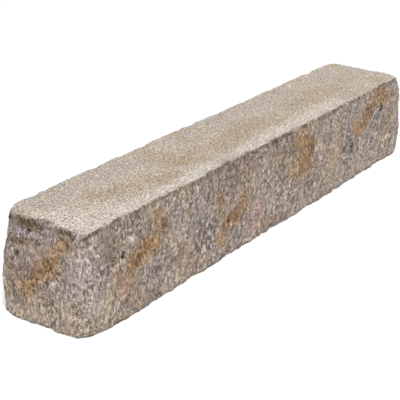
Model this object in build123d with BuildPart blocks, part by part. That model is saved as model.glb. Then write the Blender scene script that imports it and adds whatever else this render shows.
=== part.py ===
"""Concrete walling block: one long rock-faced unit of split and rumbled concrete.

The frame: X runs along the block, Y across it and Z up from its lower bed, with the origin under the
middle of the block. The near end is at -X and the front face at -Y. Sizes are millimetres.
"""
from build123d import *
import math
import os

# The block over the proudest points of its split faces
length = 750.0
width = 132.0
height = 125.0

# How far each face falls back from its proudest level to the top edge, and where that level is
near_end_fall = 9.0
near_end_proud_level = 22.0
far_end_fall = 8.0
far_end_proud_level = 62.0
long_face_fall = 2.5
long_face_proud_level = 30.0

# The lip under the near end's top edge, and the groove that undercuts it
lip_height = 18.0
groove_depth = 3.5
groove_spread = 9.0

# How far the lip rolls back to the top edge, and over what height
lip_roll = 3.0
lip_roll_height = 10.0

# The undulation that splitting leaves: each wave is shorter and lower than the one before
end_relief = 0.9
long_relief = 0.65
longest_wave = 230.0
wave_shrink = 0.71
wave_fade = 0.82
wave_count = 5

# How closely the outline and its levels follow the undulation
outline_pitch = 18.0
level_pitch = 14.0

# The edges worn round by rumbling
corner_round = 13.0
top_round = 4.5
bottom_round = 4.0
round_steps = 3

# The spalls knocked out of the edges, long shallow ones and short ones
long_spall_radius = 36.0
long_spall_depth = 2.4
long_spall_pitch = 146.0
short_spall_radius = 15.0
short_spall_depth = 1.9
short_spall_pitch = 125.0

golden_angle = math.radians(137.508)
golden_share = 0.618034


def relief(across, up, face_number):
    """Undulation of a split face at a point of it, as a sum of ever shorter waves."""
    total = 0.0
    for wave in range(wave_count):
        heading = golden_angle * (2 * wave + face_number)
        wavelength = longest_wave * wave_shrink**wave
        travel = across * math.cos(heading) + up * math.sin(heading)
        phase = golden_angle * (wave + 2) ** 2 * face_number
        total += wave_fade**wave * math.sin(2 * math.pi * travel / wavelength + phase)
    return total


def fall(up, proud_level, amount):
    """Standing-out of a face by its height: level at the proudest, back at the top and the bottom."""
    reach = height - proud_level if up > proud_level else height - proud_level + bottom_round
    return -amount * ((up - proud_level) / reach) ** 2


def groove(up):
    """Undercut below the lip of the near end."""
    middle = height - lip_height - groove_spread / 2
    return -groove_depth * math.exp(-(((up - middle) / groove_spread) ** 2))


def lip(up):
    """Rolling back of the near end above its lip."""
    return -lip_roll * max(0, 1 - (height - up) / lip_roll_height) ** 2


def front_face(across, up):
    return fall(up, long_face_proud_level, long_face_fall) + long_relief * relief(across, up, 1)


def far_end(across, up):
    return fall(up, far_end_proud_level, far_end_fall) + end_relief * relief(across, up, 2)


def back_face(across, up):
    return fall(up, long_face_proud_level, long_face_fall) + long_relief * relief(across, up, 3)


def near_end(across, up):
    bulge = fall(up, near_end_proud_level, near_end_fall)
    return bulge + groove(up) + lip(up) + end_relief * relief(across, up, 4)


def crest(face, span):
    """Proudest standing-out of a face, which lies at the block's nominal size."""
    samples = 40
    shares = [step / samples for step in range(samples + 1)]
    return max(face(span * (share - 0.5), height * rise) for share in shares for rise in shares)


# The faces in turn about Z: shape, heading, span, distance from the middle and crest
faces = (
    (front_face, -90, length, width / 2, crest(front_face, length)),
    (far_end, 0, width, length / 2, crest(far_end, width)),
    (back_face, 90, length, width / 2, crest(back_face, length)),
    (near_end, 180, width, length / 2, crest(near_end, width)),
)


def outline(up, inset):
    """Edges of the block's outline at a height: a spline for each face and one for each worn corner."""
    edges = []
    for number, (face, heading, span, distance, proudest) in enumerate(faces):
        last_face, _, last_span, _, last_proudest = faces[number - 1]
        next_face, _, next_span, _, next_proudest = faces[(number + 1) % len(faces)]
        outward = Vector(1, 0).rotate(Axis.Z, heading)
        along = Vector(0, 1).rotate(Axis.Z, heading)
        margin = inset + corner_round
        start = margin + last_proudest - last_face(last_span / 2, up) - span / 2
        end = span / 2 - margin - next_proudest + next_face(-next_span / 2, up)
        steps = round(span / outline_pitch)
        shares = [step / steps for step in range(steps + 1)]
        points = []
        for share in shares:
            place = span * (share - 0.5)
            stand_out = distance - inset - proudest + face(place, up)
            points.append(outward * stand_out + along * (start + (end - start) * share))
        edges.append(Edge.make_spline(points, tangents=(along, along), parameters=shares))
        centre = points[-1] - outward * corner_round
        diagonal = (outward + along).normalized() * corner_round
        turned = [points[-1], centre + diagonal, centre + along * corner_round]
        edges.append(Edge.make_spline(turned, tangents=(along, -outward), parameters=[0, 0.5, 1]))
    return edges


def section(up, inset):
    """The block's level section at a height."""
    return Plane.XY.offset(up) * Face(Wire(outline(up, inset)))


def rim_spalls(up, rounding, radius, depth, pitch):
    """Middles of the balls that scoop spalls out of the upper or the lower rim."""
    centres = []
    level = Vector(0, 0, up)
    tilt = Vector(0, 0, 1 if up > height / 2 else -1)
    for number, edge in enumerate(outline(up, 0)[::2]):
        count = round(edge.length / pitch)
        for step in range(count):
            scatter = golden_share * (step + 5 * number + radius) % 1
            share = (step + 0.15 + 0.7 * scatter) / count
            outward = (edge.tangent_at(share).rotate(Axis.Z, -90) + tilt).normalized()
            bite = rounding * (math.sqrt(2) - 1) + depth * (0.5 + 0.7 * scatter)
            centres.append(edge.position_at(share) + level + outward * (radius - bite))
    return centres


def corner_spalls(radius, depth, pitch):
    """Middles of the balls that scoop spalls out of the upright corners."""
    centres = []
    count = round(height / pitch)
    for number in range(len(faces)):
        for step in range(count):
            scatter = golden_share * (step + 3 * number + radius) % 1
            up = height * (step + 0.2 + 0.6 * scatter) / count
            arc = outline(up, 0)[2 * number + 1]
            outward = arc.tangent_at(0.5).rotate(Axis.Z, -90)
            bite = depth * (0.5 + 0.7 * scatter)
            centres.append(arc.position_at(0.5) + Vector(0, 0, up) + outward * (radius - bite))
    return centres


def spalls(radius, depth, pitch):
    """Middles of all the balls of one size."""
    top = rim_spalls(height, top_round, radius, depth, pitch)
    bottom = rim_spalls(0, bottom_round, radius, depth, pitch)
    return top + bottom + corner_spalls(radius, depth, pitch)


# The levels of the straight wall and of the rolls above and below it, each with its inset
wall_height = height - bottom_round - top_round
level_count = round(wall_height / level_pitch)
turns = [math.radians(90 * step / round_steps) for step in range(round_steps + 1)]
wall = [(bottom_round + wall_height * step / level_count, 0) for step in range(level_count + 1)]
top_roll = [(height - top_round * (1 - math.sin(t)), top_round * (1 - math.cos(t))) for t in turns]
bottom_roll = [(bottom_round * (1 - math.sin(t)), bottom_round * (1 - math.cos(t))) for t in turns]

with BuildPart() as walling_block:
    loft([section(level, inset) for level, inset in wall])
    for band in (top_roll, bottom_roll):
        loft([section(level, inset) for level, inset in band], ruled=True)
    with Locations(*spalls(long_spall_radius, long_spall_depth, long_spall_pitch)):
        Sphere(long_spall_radius, mode=Mode.SUBTRACT)
    with Locations(*spalls(short_spall_radius, short_spall_depth, short_spall_pitch)):
        Sphere(short_spall_radius, mode=Mode.SUBTRACT)

walling_block.part.label = "walling_block"
os.makedirs("parts", exist_ok=True)
export_step(walling_block.part, "parts/walling_block.step")
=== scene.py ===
import math

import bpy
import numpy as np
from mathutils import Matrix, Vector
from mathutils.bvhtree import BVHTree


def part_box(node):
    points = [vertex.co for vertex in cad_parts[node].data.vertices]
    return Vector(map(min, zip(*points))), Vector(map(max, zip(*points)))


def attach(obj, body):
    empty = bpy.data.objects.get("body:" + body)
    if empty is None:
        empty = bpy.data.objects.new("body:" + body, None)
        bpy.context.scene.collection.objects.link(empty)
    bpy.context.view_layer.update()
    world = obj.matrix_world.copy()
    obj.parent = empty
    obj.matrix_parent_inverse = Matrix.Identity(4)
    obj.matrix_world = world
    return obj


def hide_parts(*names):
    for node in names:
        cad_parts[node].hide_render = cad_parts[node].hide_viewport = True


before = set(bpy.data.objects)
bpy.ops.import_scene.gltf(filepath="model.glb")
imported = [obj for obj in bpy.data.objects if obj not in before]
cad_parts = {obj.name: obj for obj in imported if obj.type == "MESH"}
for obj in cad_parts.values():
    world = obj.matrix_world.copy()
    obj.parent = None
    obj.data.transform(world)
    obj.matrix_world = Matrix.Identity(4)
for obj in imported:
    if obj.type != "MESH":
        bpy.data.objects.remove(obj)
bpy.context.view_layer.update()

MM = 0.001
NODE = "walling_block"
block_low, block_high = (np.array(corner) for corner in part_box(NODE))
size = block_high - block_low
middle = (block_low + block_high) / 2

# The skin's mesh: the spacing of its lattice, and how deep in the block its rays start
lattice_pitch = 2.08 * MM
core_depth = 24 * MM


# Noise

def random_at(cells, seed):
    """A repeatable random number from 0 to 1 for each whole-numbered cell."""
    mixed = np.zeros(len(cells), np.uint64)
    for axis, prime in enumerate((73856093, 19349663, 83492791)):
        mixed ^= (cells[:, axis] + 4096).astype(np.uint64) * np.uint64(prime)
    mixed ^= np.uint64(seed * 2654435761 % 4294967296)
    for _ in range(2):
        mixed ^= mixed >> np.uint64(15)
        mixed = mixed * np.uint64(2246822519) & np.uint64(0xFFFFFFFF)
        mixed ^= mixed >> np.uint64(13)
        mixed = mixed * np.uint64(3266489917) & np.uint64(0xFFFFFFFF)
    mixed ^= mixed >> np.uint64(16)
    return mixed.astype(np.float64) / 4294967295.0


def smooth_noise(points, scale, seed):
    """Smooth random height from -1 to 1, about one bump per scale."""
    places = points / scale
    base = np.floor(places)
    share = places - base
    ease = share**3 * (share * (share * 6 - 15) + 10)
    base = base.astype(np.int64)
    total = np.zeros(len(points))
    for corner in np.ndindex(2, 2, 2):
        weight = np.prod(np.where(np.array(corner) == 1, ease, 1 - ease), axis=1)
        total += weight * random_at(base + np.array(corner), seed)
    return 2 * total - 1


def fractal(points, scale, seed, octaves=4, fade=0.55):
    """Sum of ever finer smooth noises, scaled to stay near -1 to 1."""
    total = np.zeros(len(points))
    reach = 0.0
    for octave in range(octaves):
        total += fade**octave * smooth_noise(points, scale / 2.03**octave, seed + octave)
        reach += fade**octave
    return total / reach * 1.6


def spots(points, spacing, seed):
    """Distance to the nearest of some scattered spots, in spacings, and that spot's random number."""
    places = points / spacing
    base = np.floor(places).astype(np.int64)
    nearest = np.full(len(points), 9.0)
    chance = np.zeros(len(points))
    for step in np.ndindex(3, 3, 3):
        cell = base + np.array(step) - 1
        spot = cell + np.stack([random_at(cell, seed + axis) for axis in range(3)], axis=1)
        distance = np.linalg.norm(places - spot, axis=1)
        closer = distance < nearest
        nearest[closer] = distance[closer]
        chance[closer] = random_at(cell, seed + 7)[closer]
    return nearest, chance


def smoothstep(low, high, value):
    """Rises smoothly from 0 at low to 1 at high."""
    share = np.clip((value - low) / (high - low), 0, 1)
    return share * share * (3 - 2 * share)


# The skin's mesh

def box_lattice(counts):
    """Lattice points on the surface of a box and its quads, with the side of each quad.

    A side is an axis number, plus 3 for the far side of that axis.
    """
    quads = []
    sides = []
    for axis in range(3):
        u_axis, v_axis = (axis + 1) % 3, (axis + 2) % 3
        for far in (0, 1):
            u, v = np.meshgrid(np.arange(counts[u_axis]), np.arange(counts[v_axis]), indexing="ij")
            u, v = u.ravel(), v.ravel()
            turns = ((0, 0), (1, 0), (1, 1), (0, 1)) if far else ((0, 0), (0, 1), (1, 1), (1, 0))
            corners = np.zeros((len(u), 4, 3), np.int64)
            for number, (du, dv) in enumerate(turns):
                corners[:, number, axis] = counts[axis] * far
                corners[:, number, u_axis] = u + du
                corners[:, number, v_axis] = v + dv
            quads.append(corners)
            sides.append(np.full(len(u), axis + 3 * far))
    corners = np.concatenate(quads).reshape(-1, 3)
    codes = (corners[:, 0] * 4096 + corners[:, 1]) * 4096 + corners[:, 2]
    codes, first, index = np.unique(codes, return_index=True, return_inverse=True)
    return corners[first], index.reshape(-1, 4), np.concatenate(sides)


def wrap_on_cad(lattice, counts):
    """Lattice points laid on the CAD surface, along rays that fan out round the edges."""
    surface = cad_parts[NODE]
    tree = BVHTree.FromObject(surface, bpy.context.evaluated_depsgraph_get())
    outer = block_low + size * lattice / counts
    core = np.clip(outer, block_low + core_depth, block_high - core_depth)
    heading = outer - core
    heading /= np.linalg.norm(heading, axis=1)[:, None]
    points = np.empty_like(outer)
    for number in range(len(outer)):
        hit = tree.ray_cast(Vector(core[number]), Vector(heading[number]))[0]
        points[number] = hit if hit is not None else outer[number]
    return points


def normals_of(points, quads):
    """Outward normal at each point, from the quads round it."""
    corners = points[quads]
    face = np.cross(corners[:, 2] - corners[:, 0], corners[:, 3] - corners[:, 1])
    total = np.zeros_like(points)
    for number in range(4):
        for axis in range(3):
            total[:, axis] += np.bincount(quads[:, number], face[:, axis], len(points))
    return total / np.linalg.norm(total, axis=1)[:, None]


def relax(values, quads, rounds):
    """Values averaged with their neighbours along the lattice, several times."""
    edges = np.concatenate([quads[:, [0, 1]], quads[:, [1, 2]], quads[:, [2, 3]], quads[:, [3, 0]]])
    ends = np.concatenate([edges, edges[:, ::-1]])
    count = np.bincount(ends[:, 0], minlength=len(values))
    for _ in range(rounds):
        total = np.zeros_like(values)
        for axis in range(values.shape[1]):
            total[:, axis] = np.bincount(ends[:, 0], values[ends[:, 1], axis], len(values))
        values = 0.5 * values + 0.5 * total / count[:, None]
    return values


# Relief of the rock faces over the CAD surface: heights in millimetres, lengths in metres
upright_stretch = np.array((1.0, 1.0, 0.6))
swell_height = 0.7
swell_length = 30 * MM
ledge_height = 0.42
ledge_length = 14 * MM
ledge_steps = 3.2
grain_height = 0.7
grain_length = 7 * MM
grit_height = 0.45
grit_length = 3.1 * MM
rock_pit_depth = 1.8
rock_pit_spacing = 12 * MM
rock_pit_share = 0.5
near_end_coarsening = 0.5

# The groove under the near end's lip: where it starts and ends below the top, and how far that wanders
undercut_depth = 2.6
undercut_start = (13, 17)
undercut_end = (32, 22)
undercut_wander = 2.5
undercut_wander_length = 22 * MM

# Relief of the cast beds
bed_swell_height = 0.15
bed_swell_length = 40 * MM
bed_grain_height = 0.3
bed_grain_length = 5 * MM
bed_pit_depth = 1.1
bed_pit_spacing = 11 * MM
bed_pit_share = 0.28

# Relief of the edges: how far the upper rims stand out, and the nicks, which are slighter at the back
upper_rim_rise = 1.4
nick_depth = 1.5
nick_length = 6 * MM
upper_nick_relief = 0.5
back_nick_relief = 0.6
rim_smoothing = 0.6

# The roughness of a chip's cut, and how softly the cut meets the face
chip_roughness = 1.2
chip_rough_length = 9 * MM
chip_softness = 5 * MM

# The corners' chips: the corner in shares of the half sizes, the cut's facing and its bite in millimetres
CHIPS = (
    ((-1, -1, -1), (-0.45, -0.9, -0.8), 13),
    ((-1, -1, 0), (-1.0, -0.8, 0.0), 9),
    ((1, -1, 1), (0.8, -0.7, 0.75), 14),
    ((-1, 1, 1), (-0.8, 0.55, 0.95), 19),
    ((-1, 1, 0), (-1.0, 0.7, 0.2), 8),
    ((1, 1, -1), (0.7, 0.8, -0.8), 13),
)


def pits(points, spacing, share, depth, reach, seed):
    """Height of scattered pits, in millimetres; reach is their rim and their floor in spacings."""
    near, chance = spots(points, spacing, seed)
    return -depth * smoothstep(*reach, near) * (chance > 1 - share)


def split_relief(points, normals):
    """Height of the rock faces over the CAD surface, in millimetres."""
    stretched = points * upright_stretch
    swell = swell_height * fractal(stretched, swell_length, seed=11, octaves=2)
    ledges = fractal(stretched, ledge_length, seed=23, octaves=3) * ledge_steps
    ledges = np.floor(ledges) + smoothstep(0.5, 1.0, ledges - np.floor(ledges))
    grain = grain_height * fractal(stretched, grain_length, seed=37, octaves=2, fade=0.9)
    grit = grit_height * fractal(points, grit_length, seed=39, octaves=1)
    holes = pits(points, rock_pit_spacing, rock_pit_share, rock_pit_depth, reach=(0.24, 0.08), seed=41)
    wander = undercut_wander * fractal(points, undercut_wander_length, seed=43, octaves=2)
    below_top = (block_high[2] - points[:, 2]) / MM + wander
    under_lip = smoothstep(*undercut_start, below_top) * smoothstep(*undercut_end, below_top)
    near_end = smoothstep(0.4, 0.8, -normals[:, 0])
    coarse = 1 + near_end_coarsening * near_end
    broken = coarse * (swell + ledge_height * ledges + grain)
    return broken + grit + holes - undercut_depth * near_end * under_lip


def bed_relief(points):
    """Height of the flat cast beds over the CAD surface, in millimetres."""
    swell = bed_swell_height * fractal(points, bed_swell_length, seed=53, octaves=2)
    grain = bed_grain_height * fractal(points, bed_grain_length, seed=59, octaves=2, fade=0.9)
    holes = pits(points, bed_pit_spacing, bed_pit_share, bed_pit_depth, reach=(0.2, 0.07), seed=61)
    return swell + grain + holes


def edge_relief(points, normals, bend):
    """Height of the edges over the CAD surface, in millimetres; bend is 1 on an edge and 0 on a face.

    The upper rims stand out almost sharp between their nicks, and the other edges are worn back.
    """
    nicks = np.clip(fractal(points, nick_length, seed=71, octaves=3, fade=0.9), 0, 2)
    upper = smoothstep(0.3, 0.6, normals[:, 2])
    nicks *= 1 - back_nick_relief * upper * smoothstep(-0.1, 0.3, normals[:, 1])
    return bend * (upper_rim_rise * upper - (nick_depth - upper_nick_relief * upper) * nicks)


def knock_chips(points):
    """Points with the corners' chips knocked off: each chip is a rough plane cut across its corner."""
    rough = fractal(points, chip_rough_length, seed=83, octaves=3, fade=0.7) * chip_roughness * MM
    for place, facing, bite in CHIPS:
        facing = np.array(facing, float) / np.linalg.norm(facing)
        corner = middle + size / 2 * np.array(place)
        beyond = (points - corner) @ facing + bite * MM + rough
        cut = (beyond + np.hypot(beyond, chip_softness)) / 2 - chip_softness**2 / (4 * size.min())
        points = points - np.maximum(cut, 0)[:, None] * facing
    return points


# Colours

def linear(*shades):
    """Linear colour of an sRGB one that is written from 0 to 255."""
    shades = np.array(shades) / 255
    return np.where(shades <= 0.04045, shades / 12.92, ((shades + 0.055) / 1.055) ** 2.4)


# The share of a bed's light that reaches an upright face: colours seen on one are written as they look
UPRIGHT_LIGHT = 0.85

BED_SAND = linear(204, 190, 175)
BED_CREAM = linear(222, 211, 198)
BED_TAN = linear(188, 168, 142)
BED_GREY = linear(190, 178, 167)

SPLIT_BEIGE = linear(165, 149, 132) / UPRIGHT_LIGHT
SPLIT_LILAC = linear(153, 140, 135) / UPRIGHT_LIGHT
SPLIT_BROWN = linear(136, 117, 104) / UPRIGHT_LIGHT
OCHRE = linear(154, 122, 86) / UPRIGHT_LIGHT
RUST = linear(124, 92, 60) / UPRIGHT_LIGHT
OLIVE = linear(104, 88, 68) / UPRIGHT_LIGHT
SLATE = linear(100, 94, 90) / UPRIGHT_LIGHT
LAVENDER = linear(156, 145, 146) / UPRIGHT_LIGHT
PEACH = linear(172, 142, 124) / UPRIGHT_LIGHT
PALE = linear(184, 172, 164) / UPRIGHT_LIGHT
# Painted shade in the pits
PAINTED_PIT_SHADE = linear(48, 43, 40) / UPRIGHT_LIGHT
PALE_GRAIN_AND_GLINT = linear(222, 215, 208)

# Stains and painted shade on the near end: colour, half width, strength and path, as Y and Z in millimetres
END_STAINS = (
    (SPLIT_BROWN, 22, 0.6, ((40, 88), (0, 92), (-40, 96))),
    (LAVENDER, 6, 0.9, ((50, 108), (10, 106), (-24, 108))),
    (OLIVE, 6, 1.0, ((56, 119), (30, 118), (12, 117))),
    (OLIVE, 5, 0.9, ((12, 117), (-12, 118), (-40, 121))),
    (RUST, 3, 0.6, ((40, 119), (10, 117))),
    # Painted shadows in the notches at the arris with the front face
    (OLIVE, 3, 1.0, ((-62, 120), (-62, 108))),
    (OLIVE, 3, 0.9, ((-63, 68), (-63, 60))),
    (PALE, 6, 0.6, ((-6, 118), (-14, 118))),
    # A painted shadow line in the groove under the lip, with painted pit shade
    (OLIVE, 4, 0.9, ((46, 98), (24, 99), (6, 98))),
    (PAINTED_PIT_SHADE, 1.5, 0.8, ((30, 98), (20, 99))),
    (PAINTED_PIT_SHADE, 1.4, 0.8, ((8, 97), (0, 98))),
    (OCHRE, 9, 0.9, ((-26, 104), (-22, 94), (-18, 84), (-8, 75))),
    (OCHRE, 9, 1.0, ((-11, 76), (2, 62), (14, 49), (26, 40))),
    (RUST, 5, 0.8, ((-12, 80), (0, 69), (8, 60))),
    (RUST, 3, 0.6, ((-26, 98), (-22, 90))),
    (OCHRE, 6, 0.4, ((-48, 104), (-50, 96), (-44, 88), (-33, 78))),
    (SLATE, 5, 0.9, ((-14, 60), (-17, 57))),
    (LAVENDER, 12, 0.8, ((-56, 92), (-55, 74), (-44, 56))),
    (SPLIT_BROWN, 8, 0.5, ((44, 70), (40, 30))),
    (RUST, 5, 0.4, ((-44, 12), (-34, 11))),
    (SPLIT_BEIGE, 16, 0.6, ((-40, 26), (0, 18), (30, 16))),
    (PAINTED_PIT_SHADE, 2.2, 0.9, ((36, 83), (35, 82))),
    (PAINTED_PIT_SHADE, 2.2, 0.9, ((10, 73), (9, 72))),
    (PAINTED_PIT_SHADE, 2.0, 0.8, ((23, 108), (21, 108))),
    (PAINTED_PIT_SHADE, 2.2, 0.8, ((-20, 35), (-20, 34))),
)

# Stains and painted pit shade on the front face: the same, with X and Z
FRONT_STAINS = (
    (PALE, 8, 0.5, ((-354, 108), (-352, 68), (-354, 30))),
    (SLATE, 7, 0.7, ((-338, 74), (-328, 62))),
    (PAINTED_PIT_SHADE, 3.4, 0.8, ((-337, 73), (-335, 70))),
    (OLIVE, 9, 0.35, ((-320, 98), (-312, 90))),
    (PAINTED_PIT_SHADE, 2.8, 1.0, ((-299, 80), (-299, 76))),
    (OCHRE, 9, 0.9, ((-240, 103), (-236, 90), (-244, 78), (-258, 71))),
    (OCHRE, 12, 0.95, ((-258, 71), (-274, 64), (-289, 55), (-301, 43))),
    (OLIVE, 5, 0.9, ((-228, 92), (-231, 86))),
    (RUST, 6, 0.6, ((-262, 70), (-280, 60))),
    (PEACH, 10, 0.6, ((-312, 58), (-306, 44))),
    (PEACH, 12, 0.6, ((-160, 26), (-182, 20))),
    (SPLIT_BROWN, 14, 0.6, ((-290, 20), (-250, 12))),
    (SLATE, 10, 0.6, ((-168, 72), (-164, 60))),
    (SLATE, 13, 0.85, ((-140, 60), (-142, 46), (-156, 38))),
    (SPLIT_BROWN, 20, 0.8, ((-124, 106), (-90, 98), (-64, 108))),
    (OCHRE, 5, 0.8, ((-121, 88), (-124, 72))),
    (OCHRE, 10, 1.0, ((-72, 62), (-86, 53), (-103, 45), (-112, 38), (-118, 28))),
    (RUST, 5, 0.8, ((-84, 55), (-100, 47))),
    (OCHRE, 12, 0.35, ((-48, 72), (-56, 50))),
    (PEACH, 16, 0.6, ((-36, 34), (-20, 26))),
    (SLATE, 15, 0.75, ((22, 54), (8, 42), (2, 30))),
    (SPLIT_BROWN, 18, 0.8, ((20, 110), (50, 108))),
    (OCHRE, 17, 1.0, ((72, 104), (88, 90), (84, 76), (66, 70))),
    (RUST, 8, 0.9, ((94, 88), (90, 76))),
    (OCHRE, 11, 0.5, ((62, 70), (48, 60))),
    (OLIVE, 6, 0.7, ((24, 80), (30, 78))),
    (PEACH, 13, 0.5, ((146, 54), (170, 62))),
    (SPLIT_BEIGE, 18, 0.6, ((158, 96), (164, 50), (146, 20))),
    (SPLIT_BEIGE, 15, 0.6, ((-22, 88), (-12, 52))),
    (SLATE, 17, 0.65, ((214, 60), (208, 42), (198, 28))),
    (OCHRE, 10, 1.0, ((322, 105), (296, 108), (280, 100))),
    (OCHRE, 12, 1.0, ((280, 100), (266, 90), (252, 80), (226, 79))),
    (RUST, 7, 0.8, ((274, 98), (266, 88))),
    (SLATE, 14, 0.6, ((296, 84), (284, 60))),
    (OLIVE, 11, 0.5, ((330, 70), (312, 58))),
    (PAINTED_PIT_SHADE, 3.6, 0.9, ((306, 90), (304, 88))),
    (PAINTED_PIT_SHADE, 3.6, 0.8, ((212, 55), (210, 53))),
)

# Stains on the upper bed: the same, with X and Y
BED_STAINS = (
    (BED_CREAM, 24, 1.0, ((-344, -8), (-336, -44), (-300, -50))),
    (BED_GREY, 18, 0.6, ((-332, 40), (-250, 44), (-170, 36))),
    (BED_TAN, 14, 1.0, ((-268, 0), (-238, -14))),
    (BED_TAN, 15, 0.9, ((-206, -22), (-176, -30))),
    (BED_TAN, 12, 0.8, ((-136, -14), (-110, -24))),
    (BED_CREAM, 8, 1.0, ((-290, -54), (-200, -52), (-120, -50))),
    (BED_GREY, 20, 0.5, ((-60, 34), (60, 38), (180, 34))),
    (BED_TAN, 18, 0.9, ((-60, -24), (-20, -16))),
    (BED_TAN, 16, 0.8, ((24, -8), (80, -16))),
    (BED_TAN, 15, 0.8, ((130, -2), (176, -10))),
    (BED_TAN, 12, 0.7, ((214, -22), (250, -16))),
    (BED_CREAM, 11, 1.0, ((-60, -52), (60, -50), (190, -48))),
    (BED_GREY, 20, 0.4, ((280, 22), (330, 20))),
)


# How a stain strays from its path and frays at its edge: lengths in metres, the sway in millimetres
stain_sway = 6.0
stain_sway_length = 16 * MM
stain_fray = 0.4
stain_fray_length = 7 * MM
stain_speckle_length = 4.2 * MM
stain_spread = 1.2
stain_breaks = 0.35


def distance_to_path(across, up, path):
    """Distance from points of a face to a path over it."""
    nearest = np.full(len(across), np.inf)
    for (x0, y0), (x1, y1) in zip(path, path[1:]):
        run, rise = x1 - x0, y1 - y0
        share = np.clip(((across - x0) * run + (up - y0) * rise) / (run**2 + rise**2), 0, 1)
        nearest = np.minimum(nearest, np.hypot(across - x0 - share * run, up - y0 - share * rise))
    return nearest


def stained(tint, points, facing, stains, axes, seed):
    """Tint with a face's stains and painted pit shade laid over it; facing is 1 on that face and 0 off it.
    """
    sways = [fractal(points, stain_sway_length, seed + axis, octaves=4, fade=0.7) for axis in range(2)]
    sway = np.stack(sways, axis=1) * stain_sway
    ragged = fractal(points, stain_fray_length, seed + 2, octaves=3, fade=0.9)
    grains = fractal(points, stain_speckle_length, seed + 5, octaves=1)
    speckle = smoothstep(-0.4, 0.3, grains)[:, None]
    dark_and_pale = PALE + speckle * (SLATE - PALE)
    across = points[:, axes[0]] / MM + sway[:, 0]
    up = points[:, axes[1]] / MM + sway[:, 1]
    for colour, reach, strength, path in stains:
        edge = distance_to_path(across, up, path) / (stain_spread * reach)
        # Painted pit shade, laid on without fraying or breaks
        if colour is PAINTED_PIT_SHADE:
            cover = facing * strength * smoothstep(1.2, 0.5, edge)
            tint = tint + cover[:, None] * (colour - tint)
            continue
        cover = (facing * strength * smoothstep(1.6, 0.3, edge + stain_fray * ragged))[:, None]
        if colour is SLATE:
            tint = tint + cover * (dark_and_pale - tint)
        else:
            tint = tint + cover * (1 - stain_breaks + stain_breaks * speckle) * (colour - tint)
    return tint


# The area of face, in square millimetres, that has one stain on the sides that aren't in view
area_per_stain = 4200


def scattered_stains(span, rise, seed):
    """Stains of the same kinds for a face that the photograph doesn't show."""
    chance = np.random.default_rng(seed)
    kinds = ((OCHRE, 10, 0.9), (SLATE, 13, 0.8), (SPLIT_BROWN, 18, 0.7), (PEACH, 14, 0.6), (RUST, 5, 0.8))
    stains = []
    for number in range(round(span * rise / area_per_stain)):
        colour, reach, strength = kinds[number % len(kinds)]
        start = np.array((chance.uniform(-0.46, 0.46) * span, chance.uniform(0.15, 0.85) * rise))
        lean = chance.uniform(-14, 14)
        drop = chance.uniform(12, 34)
        path = (start, start + (lean, -drop / 2), start + (1.6 * lean, -drop))
        stains.append((colour, reach * chance.uniform(0.7, 1.2), strength, path))
    return stains


# The lengths of the concrete's broad, mixed and fine changes of colour
broad_length = 46 * MM
mixed_length = 17 * MM
fine_length = 6 * MM

# How dark the painted shade under the rims, at the foot and in hollows is, and how light the beds' painted
# rim highlight is
painted_under_rim_shadow = 0.55
painted_foot_shadow = 0.2
painted_hollow_shading = 0.22
rim_highlight_strength = 0.8
rim_highlight_brightness = 1.2

# How far inside the block's box the beds' rims lie, at its ends and along its sides
rim_inset_ends = 9 * MM
rim_inset_sides = 3 * MM


def rock_tint(broad, mixed, fine):
    """Linear colour of the rock faces before their stains."""
    tint = SPLIT_BEIGE + smoothstep(-0.5, 0.5, mixed)[:, None] * (SPLIT_LILAC - SPLIT_BEIGE)
    tint = tint + (0.8 * smoothstep(0.0, 0.8, broad + 0.5 * mixed))[:, None] * (SPLIT_BROWN - tint)
    return tint + (0.7 * smoothstep(0.35, 0.9, fine))[:, None] * (PALE - tint)


def bed_tint(points, normals, broad, mixed):
    """Linear colour of the cast beds with their stains."""
    tint = BED_SAND + (0.7 * smoothstep(0.0, 0.7, broad))[:, None] * (BED_TAN - BED_SAND)
    tint = tint + (0.6 * smoothstep(0.2, 0.9, -mixed))[:, None] * (BED_GREY - tint)
    return stained(tint, points, smoothstep(0.3, 0.8, normals[:, 2]), BED_STAINS, (0, 1), 233)


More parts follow.
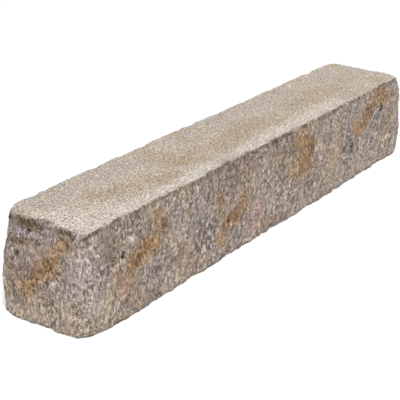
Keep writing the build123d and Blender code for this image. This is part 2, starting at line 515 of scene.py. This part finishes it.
def block_tint(points, normals, bed, hollow):
    """Linear colour of the concrete at each point of the skin, with painted shade and painted highlights in
    it.
    """
    broad = fractal(points, broad_length, seed=101, octaves=3, fade=0.6)
    mixed = fractal(points * np.array((1.0, 1.0, 0.4)), mixed_length, seed=107, octaves=4, fade=0.75)
    fine = fractal(points * np.array((1.0, 1.0, 0.5)), fine_length, seed=113, octaves=2, fade=0.9)
    split = rock_tint(broad, mixed, fine)
    tint = split + bed[:, None] * (bed_tint(points, normals, broad, mixed) - split)
    along, across, rise = size / MM
    for axis, sign, stains, axes, seed in (
        (0, -1, END_STAINS, (1, 2), 211),
        (1, -1, FRONT_STAINS, (0, 2), 223),
        (0, 1, scattered_stains(across, rise, 5), (1, 2), 227),
        (1, 1, scattered_stains(along, rise, 6), (0, 2), 229),
    ):
        facing = smoothstep(0.25, 0.6, sign * normals[:, axis])
        tint = stained(tint, points, facing, stains, axes, seed)
    below_top = (block_high[2] - points[:, 2]) / MM
    # Painted shadow on the split faces just under the top's rim
    under_rim_shadow_mask = (1 - bed) * smoothstep(8, 2, below_top + 3 * mixed) * smoothstep(-0.5, 0.3, fine)
    tint = tint * (1 - painted_under_rim_shadow * under_rim_shadow_mask)[:, None]
    inside_ends = size[0] / 2 - np.abs(points[:, 0]) - rim_inset_ends
    inside_sides = size[1] / 2 - np.abs(points[:, 1]) - rim_inset_sides
    inboard = np.minimum(inside_ends, inside_sides)
    # A painted highlight: a pale cream band on the beds just inboard of their rims
    rim = bed * smoothstep(8, 1, inboard / MM + 2 * mixed) * smoothstep(-0.6, 0.3, fine)
    tint = tint + (rim_highlight_strength * rim)[:, None] * (BED_CREAM * rim_highlight_brightness - tint)
    # Painted shadow along the foot of the split faces, where they meet the floor
    foot_shadow_mask = (1 - smoothstep(1.5, 6, points[:, 2] / MM + 1.5 * mixed)) * (1 - bed)
    tint = tint * (1 - painted_foot_shadow * foot_shadow_mask)[:, None]
    # Painted shade in the relief's hollows and painted light on its bumps
    return tint * (1 + painted_hollow_shading * np.clip(hollow, -2.2, 0.9))[:, None]


# The skin as a mesh

# The pits dug where the tint is darkest: their depth in millimetres, and the shades where they start and end
dark_pit_depth = 1.5
dark_pit_shades = (0.06, 0.035)
map_margin = 3 * MM


def strip_layout(lattice, quads, sides, counts):
    """Map places of each quad's corners: the long sides as strips one above the other, then the ends."""
    sheet = size[0] + 2 * map_margin
    corners = lattice[quads] / counts * size
    places = np.empty((len(quads), 4, 2))
    rows = {}
    up = map_margin
    for side in (1, 5, 4, 2, 0):
        rows[side] = (map_margin, up)
        up += (size[2] if side % 3 != 2 else size[1]) + map_margin
    rows[3] = (2 * map_margin + size[1], rows[0][1])
    for side, start in rows.items():
        axes = [axis for axis in range(3) if axis != side % 3]
        places[sides == side] = (corners[sides == side][:, :, axes] + start) / sheet
    return places


def block_skin():
    """The block's whole visible surface as one mesh, fitted over the CAD solid."""
    counts = np.round(size / lattice_pitch).astype(int)
    lattice, quads, sides = box_lattice(counts)
    points = wrap_on_cad(lattice, counts)
    points = relax(points, quads, 1)
    normals = relax(normals_of(points, quads), quads, 2)
    normals /= np.linalg.norm(normals, axis=1)[:, None]
    bed = smoothstep(0.72, 0.95, np.abs(normals[:, 2]))
    bend = smoothstep(0.02, 0.22, 1 - np.abs(normals).max(axis=1))
    rim = bend * smoothstep(0.3, 0.6, normals[:, 2])
    split_share = (1 - bed) * (1 - rim_smoothing * rim)
    height = bed * bed_relief(points) + split_share * split_relief(points, normals)
    height += edge_relief(points, normals, bend)
    hollow = height - relax(height[:, None], quads, 8)[:, 0]
    tint = block_tint(points, normals, bed, hollow)
    height -= dark_pit_depth * smoothstep(*dark_pit_shades, tint.mean(axis=1))
    points = knock_chips(points + normals * (height * MM)[:, None])
    points = np.clip(points, block_low, block_high)

    mesh = bpy.data.meshes.new("block_skin")
    mesh.from_pydata(points.tolist(), [], quads.tolist())
    mesh.polygons.foreach_set("use_smooth", np.ones(len(quads), bool))
    mesh.attributes.new("bed", "FLOAT", "POINT").data.foreach_set("value", bed)
    shades = np.column_stack([np.clip(tint, 0, 1), np.ones(len(tint))])
    mesh.attributes.new("tint", "FLOAT_COLOR", "POINT").data.foreach_set("color", shades.ravel())
    places = strip_layout(lattice, quads, sides, counts)
    mesh.uv_layers.new(name="OFBake").data.foreach_set("uv", places.ravel())
    mesh.update()
    skin = bpy.data.objects.new("block_skin", mesh)
    bpy.context.collection.objects.link(skin)
    return skin


# Materials

def plain_material(name, colour, roughness):
    material = bpy.data.materials.new(name)
    material.use_nodes = True
    shader = material.node_tree.nodes["Principled BSDF"]
    shader.inputs["Base Color"].default_value = (*colour, 1)
    shader.inputs["Roughness"].default_value = roughness
    return material


def add_node(tree, kind, links=(), **values):
    """A new shader node with its settings, its plain inputs and its links."""
    node = tree.nodes.new("ShaderNode" + kind)
    for name, value in values.items():
        if hasattr(node, name):
            setattr(node, name, value)
        else:
            node.inputs[name.replace("_", " ")].default_value = value
    for name, source in dict(links).items():
        tree.links.new(source, node.inputs[name])
    return node


def ramp(tree, value, low, high, start, end):
    """A value from low to high turned smoothly into one from start to end."""
    step = add_node(tree, "MapRange", {"Value": value}, interpolation_type="SMOOTHSTEP")
    for name, number in (("From Min", low), ("From Max", high), ("To Min", start), ("To Max", end)):
        step.inputs[name].default_value = number
    return step.outputs["Result"]


def product(tree, first, second):
    return add_node(tree, "Math", {0: first, 1: second}, operation="MULTIPLY").outputs[0]


def noise(tree, place, length, detail, roughness):
    settings = {"Scale": 1 / length, "Detail": detail, "Roughness": roughness}
    return add_node(tree, "TexNoise", {"Vector": place}, **settings).outputs[0]


def float_mix(tree, share, first, second):
    links = {"Factor": share, "A": first, "B": second}
    return add_node(tree, "Mix", links, data_type="FLOAT").outputs["Result"]


# The finest texture, which is in the material: how long its grains, patches, strokes, specks and pores are
shader_stretch = (1.0, 1.0, 0.58)
shader_grain = 2.6 * MM
shader_patch = 17 * MM
shader_stroke = 5.5 * MM
shader_speck = 1.7 * MM
shader_pore = 5.2 * MM
bump_strength = 0.8
bump_height = 0.8 * MM


def concrete_material():
    """Cast concrete: the skin's own tint, with grains, specks and pores too small for its mesh; its pale
    specks are partly painted glints.
    """
    material = plain_material("cast_concrete", (0.4, 0.35, 0.3), 0.92)
    tree = material.node_tree
    shader = tree.nodes["Principled BSDF"]
    shader.inputs["Specular IOR Level"].default_value = 0.25
    tint = add_node(tree, "Attribute", attribute_name="tint").outputs["Color"]
    bed = add_node(tree, "Attribute", attribute_name="bed").outputs["Fac"]
    place = add_node(tree, "TexCoord").outputs["Object"]
    stretch = add_node(tree, "Mapping", {"Vector": place})
    stretch.inputs["Scale"].default_value = shader_stretch
    place = stretch.outputs["Vector"]

    grain = noise(tree, place, shader_grain, 3.0, 0.8)
    stroke = noise(tree, place, shader_stroke, 2.0, 0.6)
    speck = noise(tree, place, shader_speck, 1.0, 0.6)
    patch = noise(tree, place, shader_patch, 1.0, 0.6)
    pore = add_node(tree, "TexVoronoi", {"Vector": place}, Scale=1 / shader_pore).outputs[0]
    lively = ramp(tree, grain, 0.37, 0.62, 0.32, 1.54)
    quiet = ramp(tree, grain, 0.36, 0.64, 0.6, 1.34)
    rough_shade = float_mix(tree, ramp(tree, patch, 0.42, 0.62, 0.0, 1.0), lively, quiet)
    rough_shade = product(tree, rough_shade, ramp(tree, stroke, 0.3, 0.7, 0.74, 1.3))
    rough_shade = product(tree, rough_shade, ramp(tree, pore, 0.1, 0.28, 0.4, 1.0))
    fine_shade = ramp(tree, grain, 0.36, 0.62, 0.55, 1.46)
    fine_shade = product(tree, fine_shade, ramp(tree, speck, 0.3, 0.42, 0.4, 1.1))
    shade = float_mix(tree, bed, rough_shade, fine_shade)
    colour = add_node(tree, "VectorMath", {0: tint, 1: shade}, operation="MULTIPLY")
    # Pale specks: pale grains of the concrete, partly painted glints
    glint = add_node(tree, "Mix", {"Factor": ramp(tree, speck, 0.56, 0.7, 0.0, 0.4)}, data_type="RGBA")
    tree.links.new(colour.outputs["Vector"], glint.inputs["A"])
    glint.inputs["B"].default_value = (*PALE_GRAIN_AND_GLINT, 1)
    tree.links.new(glint.outputs["Result"], shader.inputs["Base Color"])

    bump = add_node(tree, "Bump", {"Height": shade}, Strength=bump_strength, Distance=bump_height)
    tree.links.new(bump.outputs["Normal"], shader.inputs["Normal"])
    return material


skin = block_skin()
skin.data.materials.append(concrete_material())
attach(skin, "root")
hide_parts(NODE)

# Stage

floor_reach = 8.0
sky_strength = 0.16
sun_spread = 16
sun_strength = 3.3
sun_direction = Vector((-0.42, -0.40, 1))

floor_mesh = bpy.data.meshes.new("floor")
floor_corners = [(x * floor_reach, y * floor_reach, 0) for x, y in ((-1, -1), (1, -1), (1, 1), (-1, 1))]
floor_mesh.from_pydata(floor_corners, [], [(0, 1, 2, 3)])
floor = bpy.data.objects.new("floor", floor_mesh)
bpy.context.collection.objects.link(floor)
floor_mesh.materials.append(plain_material("pale_floor", (0.98, 0.98, 0.98), 0.95))

world = bpy.data.worlds.new("studio")
bpy.context.scene.world = world
world.use_nodes = True
world.node_tree.nodes["Background"].inputs["Color"].default_value = (1, 1, 1, 1)
world.node_tree.nodes["Background"].inputs["Strength"].default_value = sky_strength

lamp = bpy.data.lights.new("sun", "SUN")
lamp.angle = math.radians(sun_spread)
lamp.energy = sun_strength
lamp_object = bpy.data.objects.new("sun", lamp)
lamp_object.rotation_euler = sun_direction.to_track_quat("Z", "Y").to_euler()
bpy.context.collection.objects.link(lamp_object)

# Camera, at the photograph's angle

camera_azimuth = -54.07
camera_elevation = 22.83
camera_distance = 1.3536
camera_target = Vector((-0.1007, -0.0186, 0.0651))
lens = 96.76
turn = math.radians(camera_azimuth)
tilt = math.radians(camera_elevation)
back = Vector((math.sin(turn) * math.cos(tilt), -math.cos(turn) * math.cos(tilt), math.sin(tilt)))
camera = bpy.data.cameras.new("camera")
camera.lens = lens
camera.sensor_width = 36
camera_object = bpy.data.objects.new("camera", camera)
camera_object.location = camera_target + back * camera_distance
camera_object.rotation_euler = back.to_track_quat("Z", "Y").to_euler()
bpy.context.collection.objects.link(camera_object)
bpy.context.scene.camera = camera_object

bpy.context.scene.view_settings.view_transform = "Standard"
